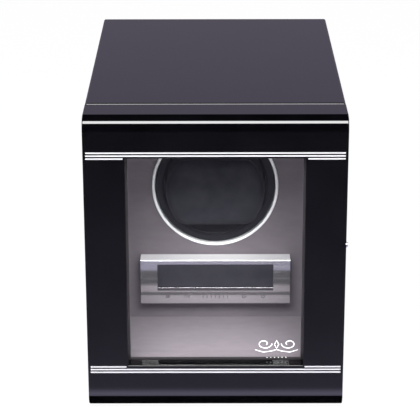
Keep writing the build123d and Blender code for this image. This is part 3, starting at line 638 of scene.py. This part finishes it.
def seam_path(surface, y):
    """The line where a stuffed surface meets a slice at depth y, a little under the surface."""
    middle = Vector((pillow_centre.x, y, pillow_centre.z))
    points = []
    for x, z in pillow_outline(pillow_radius, pillow_rise, SEAM_CORNER, SEAM_POINTS):
        outward = Vector((x, 0, z)).normalized()
        hit = surface.ray_cast(middle + outward * pillow_radius * 2, -outward)[0]
        points.append(hit - outward * SEAM_SINK)
    points.append(points[0])
    return points


def make_pillow():
    """The stuffed pillow with piped seams round its front and rear panels."""
    piece = bpy.data.objects.new("watch_pillow", unstuffed_pillow())
    bpy.context.scene.collection.objects.link(piece)
    stuff(piece)
    clear_of_core(piece)
    keep_in_cup(piece)
    subdivide(piece)
    surface = BVHTree.FromObject(piece, bpy.context.evaluated_depsgraph_get())
    seams = [seam_path(surface, pillow_low.y + along * pillow_length) for along in SEAM_PLACES]
    smooth(piece.data)
    piece.data.materials.append(finishes["pillow_fabric"])
    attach(piece, "pillow")
    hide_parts("pillow_cover")
    piping = tube_mesh("piping", seams, PIPING_RADIUS)
    add_object("pillow_piping", piping, piping_cord(), "pillow")


make_pillow()


# ---------------------------------------------------------------- printed ornament on the glass
# The ornament's width, its distances from the glass's right edge and above the door's foot,
# the half width of its lines, and how far in front of the glass it stands
ORNAMENT_WIDTH = 30.0 * MM
ORNAMENT_MARGIN = 8.0 * MM
ORNAMENT_HEIGHT = 43.0 * MM
ORNAMENT_LINE = 0.28 * MM
ORNAMENT_LIFT = 0.03 * MM

# The shapes are drawn in millimetres from the ornament's centre
CURL_PLACE = (3.2, 1.2)
CURL_SIZE = 5.2
STEM = ((-14.6, -3.4), (-9, -5.2), (-3, -4.2), (0, -3.2), (3, -4.2), (9, -5.2), (14.6, -3.4))
LOZENGE = ((0, 3.6), (1.5, 0.6), (0, -2.4), (-1.5, 0.6), (0, 3.6))
DOTS = 6
DOT_PITCH = 2.6
DOT_REACH = 0.35
DOT_DROP = 9.2


def placed(points, centre, unit):
    """Points drawn in X and Z, in a unit, moved to a centre."""
    return [(centre.x + x * unit, centre.y, centre.z + z * unit) for x, z in points]


def curl(hand, turns=1.1, tightening=0.7, squash=0.75, steps=44):
    """A line that winds in towards its own centre, to the right of the middle if hand is 1."""
    points = []
    for i in range(steps + 1):
        t = i / steps
        turn = math.pi + 2 * math.pi * turns * t
        reach = CURL_SIZE * (1 - tightening * t)
        x = hand * (CURL_PLACE[0] + CURL_SIZE + reach * math.cos(turn))
        z = CURL_PLACE[1] + reach * math.sin(turn) * squash
        points.append((x, z))
    return points


def dots():
    """Short dashes in a row, centred under the stem."""
    row = []
    for i in range(DOTS):
        x = (i - (DOTS - 1) / 2) * DOT_PITCH
        row.append([(x - DOT_REACH, -DOT_DROP), (x + DOT_REACH, -DOT_DROP)])
    return row


def make_ornament():
    """Two mirrored curls about a small lozenge, over a stem and a row of dots."""
    middle = glass_high.x - ORNAMENT_MARGIN - ORNAMENT_WIDTH / 2
    centre = Vector((middle, glass_low.y - ORNAMENT_LIFT, door_low.z + ORNAMENT_HEIGHT))
    paths = [placed(line, centre, MM) for line in [curl(-1), curl(1), STEM, LOZENGE] + dots()]
    mesh = tube_mesh("ornament", paths, ORNAMENT_LINE, flatten=0.08)
    add_object("glass_ornament", mesh, print_ink("white_ink", (0.92, 0.92, 0.92)), "door")


make_ornament()


# ---------------------------------------------------------------- printed marks under the keys
KEYS = ("select_key", "start_key", "mode_key", "direction_key", "power_key")
# The marks' unit, how far they are below the display, the half width of their lines, and their lift
MARK_UNIT = 1.5 * MM
MARK_DROP = 7.2 * MM
MARK_LINE = 0.22 * MM
MARK_LIFT = 0.02 * MM


def arc(radius, start, end, steps=14):
    """Points along an arc between two angles in degrees."""
    span = end - start
    turns = [math.radians(start + span * i / steps) for i in range(steps + 1)]
    return [(radius * math.cos(t), radius * math.sin(t)) for t in turns]


def mark_lines(key):
    """The strokes of one key's generic symbol, in units from its centre."""
    if key == "select_key":
        return [[(-1, y), (1, y)] for y in (-0.6, 0, 0.6)]
    if key == "start_key":
        triangle = [(-1.2, -0.8), (-0.1, 0), (-1.2, 0.8), (-1.2, -0.8)]
        return [triangle] + [[(x, -0.8), (x, 0.8)] for x in (0.5, 1.1)]
    if key == "mode_key":
        return [[(x, -0.7), (x, 0.7)] for x in (-6, -4, -2, 0, 2, 4, 6)]
    if key == "direction_key":
        return [arc(0.8, 60, 340), [(1.3, 0.1), (0.75, -0.3), (0.4, 0.25)]]
    return [arc(0.8, 125, 415), [(0, 0.2), (0, 1.1)]]


def make_key_marks():
    """Small dark symbols printed on the panel below each key."""
    paths = []
    for key in KEYS:
        low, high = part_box(key)
        middle = (low.x + high.x) / 2
        centre = Vector((middle, panel_low.y - MARK_LIFT, display_low.z - MARK_DROP))
        paths += [placed(line, centre, MARK_UNIT) for line in mark_lines(key)]
    mesh = tube_mesh("key_marks", paths, MARK_LINE, sides=6, flatten=0.12)
    add_object("key_marks", mesh, print_ink("dark_ink", (0.04, 0.04, 0.045)), "cabinet")


make_key_marks()


# ---------------------------------------------------------------- floor, light and camera
WHITE = (1, 1, 1, 1)
BLACK = (0, 0, 0, 1)
FLOOR_SIZE = 12
FLOOR_DARK = (0.78, 0.78, 0.80)
FLOOR_LIGHT = (0.82, 0.82, 0.84)
# How much of the table the camera sees as plain white; the rest shows its shadows
FLOOR_WHITENESS = 0.97
# The tint of the painted reflection of the table
PAINTED_REFLECTION_TINT = (1.0, 0.95, 1.33)
# How bright the painted reflection of the table is in the lacquer, by distance in metres from the box: black
# up to 21 mm as a painted shadow under the box, a painted highlight band from 24 to 29 mm, then fading away
PAINTED_REFLECTION_STEPS = (
    (0, 0.0),
    (0.021, 0.0),
    (0.024, 1.9),
    (0.029, 1.9),
    (0.033, 0.75),
    (0.038, 0.5),
    (0.14, 0.31),
    (0.30, 0.20),
    (0.55, 0.10),
    (0.8, 0.02),
    (1, 0.004),
)

GLOW = (0.30, 0.27, 0.36)
AMBIENT = (0.30, 0.29, 0.32)

# The camera's distances in millimetres from the middle of the door's lower front edge, and its turns
# in degrees
CAMERA_ACROSS = -1.7
CAMERA_AWAY = 1127.3
CAMERA_UP = 554.9
CAMERA_PITCH = 19.96
CAMERA_YAW = -0.098
CAMERA_ROLL = 0.112
CAMERA_LENS = 154.9


def studio_floor():
    """A pale table, near white to the camera, with a painted reflection in the lacquer: a painted shadow
    near the box, a painted highlight band, then fading away from the box.
    """
    bpy.ops.mesh.primitive_plane_add(size=FLOOR_SIZE, location=(0, 0, table_height))
    floor = bpy.context.object
    floor.name = "studio_floor"
    f = Finish("pale_floor", (0.80, 0.80, 0.82), 0.6)
    f.colour(f.blend(f.noise(60), FLOOR_DARK, FLOOR_LIGHT))
    beyond = f.vector("SUBTRACT", f.vector("ABSOLUTE", f.place), (door_high.x, -door_low.y, 0))
    distance = f.vector("LENGTH", f.vector("MAXIMUM", f.vector("MULTIPLY", beyond, (1, 1, 0))))
    painted_reflection_ramp = f.tree.nodes.new("ShaderNodeValToRGB")
    f.link(distance, painted_reflection_ramp.inputs["Fac"])
    stops = painted_reflection_ramp.color_ramp.elements
    for place, _ in PAINTED_REFLECTION_STEPS[1:-1]:
        stops.new(place)
    for stop, (_, brightness) in zip(stops, PAINTED_REFLECTION_STEPS):
        stop.color = (*scaled(PAINTED_REFLECTION_TINT, brightness / max(PAINTED_REFLECTION_TINT)), 1)
    white = f.shader_node("ShaderNodeEmission", Color=WHITE, Strength=1.0)
    # Painted reflection: an emission that only glossy rays see, following the ramp above
    painted_reflection = f.shader_node("ShaderNodeEmission", Color=painted_reflection_ramp.outputs["Color"], Strength=max(PAINTED_REFLECTION_TINT))
    whiteness = f.math("MULTIPLY", f.ray("Is Camera Ray"), FLOOR_WHITENESS)
    seen = f.mix_shader(whiteness, f.shader.outputs["BSDF"], white)
    f.surface(f.mix_shader(f.ray("Is Glossy Ray"), seen, painted_reflection))
    floor.data.materials.append(f.material)


def all_but(*finish_names):
    """A collection of every piece whose finish is not named, for a lamp that must leave those alone."""
    group = bpy.data.collections.new("lit_pieces")
    for piece in bpy.context.scene.objects:
        if piece.type == "MESH" and piece.data.materials[0].name not in finish_names:
            group.objects.link(piece)
    return group


def softbox(name, place, target, width, height, watts, receivers):
    """A rectangular lamp that faces a target and lights only the objects in a collection."""
    light = bpy.data.lights.new(name, "AREA")
    light.shape = "RECTANGLE"
    light.size = width
    light.size_y = height
    light.energy = watts
    lamp = bpy.data.objects.new(name, light)
    lamp.location = place
    lamp.rotation_mode = "QUATERNION"
    lamp.rotation_quaternion = (Vector(target) - Vector(place)).to_track_quat("-Z", "Y")
    bpy.context.scene.collection.objects.link(lamp)
    lamp.light_linking.receiver_collection = receivers


def studio_lamps():
    """A strip above for all but the linings and the panel, and two fills for all but lacquer and glass."""
    outside = all_but("suede", "fascia_suede", "shaded_bead_suede", "silver_coat")
    matt = all_but("lacquer", "door_glass")
    softbox(
        "overhead_strip",
        place=(0, -0.72, 1.33),
        target=(0, -0.12, 0.2),
        width=1.6,
        height=0.50,
        watts=50,
        receivers=outside,
    )
    softbox(
        "high_fill",
        place=(0, -0.88, 0.78),
        target=(0, -0.04, 0.08),
        width=0.9,
        height=0.30,
        watts=20,
        receivers=matt,
    )
    softbox(
        "front_fill",
        place=(0, -1.0, 0.42),
        target=(0, 0, 0.12),
        width=0.9,
        height=0.5,
        watts=2,
        receivers=matt,
    )


def studio_world():
    """White to the camera, an even dim room to matt surfaces, and low panels of light to the lacquer."""
    world = bpy.data.worlds.new("studio")
    bpy.context.scene.world = world
    world.use_nodes = True
    g = Graph(world.node_tree)
    x, y, z = g.parts(g.texture_place("Generated"))
    rear = g.spread(y, 0, 1, start=0.0, end=0.1, smooth=True)
    below_rear_edge = g.spread(z, 1, 0, start=0.33, end=0.44, smooth=True)
    sideways = g.spread(g.math("ABSOLUTE", x), 0, 1, start=0.25, end=0.5, smooth=True)
    below_side_edge = g.spread(z, 1, 0, start=0.6, end=0.8, smooth=True)
    rear_panel = g.math("MULTIPLY", rear, below_rear_edge)
    side_panels = g.math("MULTIPLY", sideways, below_side_edge)
    glow = g.mix_colour(g.math("MAXIMUM", rear_panel, side_panels), BLACK, (*GLOW, 1))
    room = g.mix_colour(g.ray("Is Glossy Ray"), (*AMBIENT, 1), glow)
    colour = g.mix_colour(g.ray("Is Camera Ray"), room, WHITE)
    g.link(colour, g.tree.nodes["Background"].inputs["Color"])


def studio_camera():
    """The long-lens view from in front of the box and a little above it."""
    camera = bpy.data.cameras.new("camera")
    camera.sensor_width = 36
    camera.lens = CAMERA_LENS
    camera.clip_end = 50
    rig = bpy.data.objects.new("camera", camera)
    rig.location = (CAMERA_ACROSS * MM, door_low.y - CAMERA_AWAY * MM, door_low.z + CAMERA_UP * MM)
    pitch, yaw, roll = (math.radians(a) for a in (CAMERA_PITCH, CAMERA_YAW, CAMERA_ROLL))
    rig.rotation_mode = "QUATERNION"
    aim = Matrix.Rotation(-yaw, 3, "Z") @ Matrix.Rotation(math.pi / 2 - pitch, 3, "X")
    rig.rotation_quaternion = (aim @ Matrix.Rotation(-roll, 3, "Z")).to_quaternion()
    bpy.context.scene.collection.objects.link(rig)
    bpy.context.scene.camera = rig


studio_floor()
studio_lamps()
studio_world()
studio_camera()
bpy.context.scene.view_settings.view_transform = "Standard"
